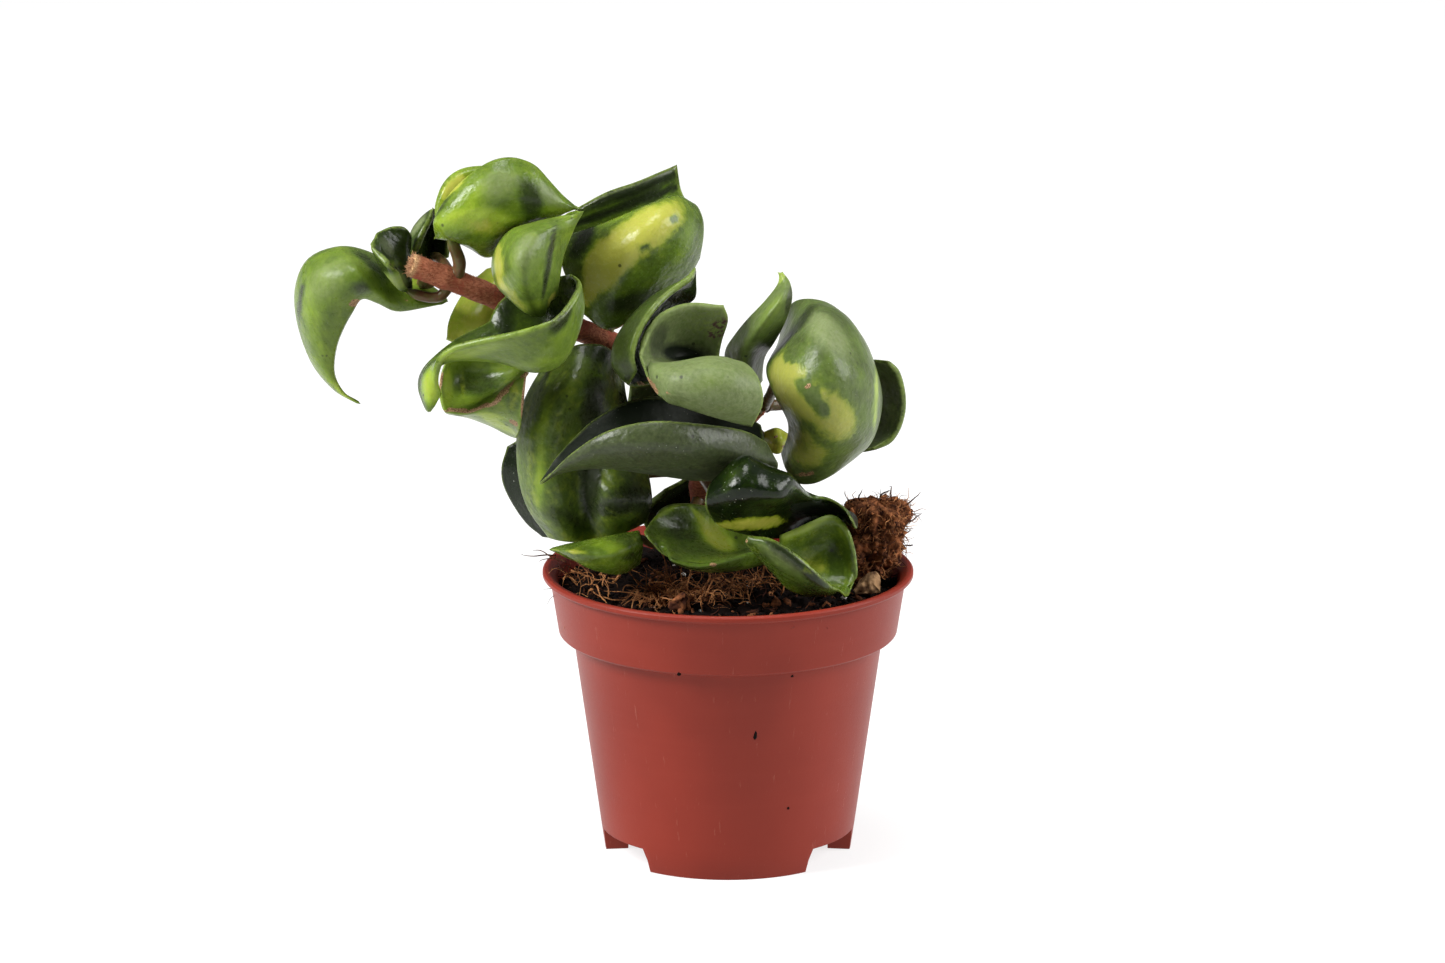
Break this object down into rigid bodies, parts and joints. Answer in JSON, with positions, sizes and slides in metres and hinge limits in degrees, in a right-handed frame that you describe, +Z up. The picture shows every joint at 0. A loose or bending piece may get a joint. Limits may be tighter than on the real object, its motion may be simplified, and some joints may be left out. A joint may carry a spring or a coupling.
{
  "type": "potted curly-leaved trailing plant",
  "caption": "Curly-leaved hindu rope plant with variegated folded leaves on a leaning stem, in a tapered plastic nursery pot of soil.",
  "frame": {"origin": "middle of the footprint of the whole object's bounding box, on the floor plane that the pot's feet rest on", "axes": "+Z up; -Y towards the viewer; X along the way the plant leans, with the leaning tip towards -X"},
  "size_m": [0.1492, 0.09, 0.1756],
  "materials": {
    "pot_plastic": "smooth satin, terracotta colour",
    "soil": "damp peat with coir fibres",
    "coir": "rough, fibrous",
    "bark": "rough, dry",
    "stem": "woody, slightly fuzzy",
    "leaf": "waxy, thick, variegated with yellow"
  },
  "bodies": {
    "root": {"bark_chip_front": "bark", "bark_chip_right": "bark", "coir_plug": "coir", "leaf_back_lower": "leaf", "leaf_back_middle": "leaf", "leaf_back_upper": "leaf", "leaf_big_cap": "leaf", "leaf_dark_crescent_left": "leaf", "leaf_dark_crescent_right": "leaf", "leaf_dark_curl": "leaf", "leaf_far_left": "leaf", "leaf_flame": "leaf", "leaf_front_bulge": "leaf", "leaf_left_wave": "leaf", "leaf_long_central": "leaf", "leaf_lower_cup": "leaf", "leaf_lower_loop": "leaf", "leaf_lower_right": "leaf", "leaf_pale_back": "leaf", "leaf_pointed_light": "leaf", "leaf_right_dome": "leaf", "leaf_scarred": "leaf", "leaf_scroll_band": "leaf", "leaf_scroll_mouth": "leaf", "leaf_small_cup": "leaf", "leaf_small_spotted": "leaf", "leaf_top_cap": "leaf", "leaf_top_right": "leaf", "main_stem": "stem", "pot": "pot_plastic", "side_stem": "stem", "soil": "soil"}
  },
  "joints": []
}
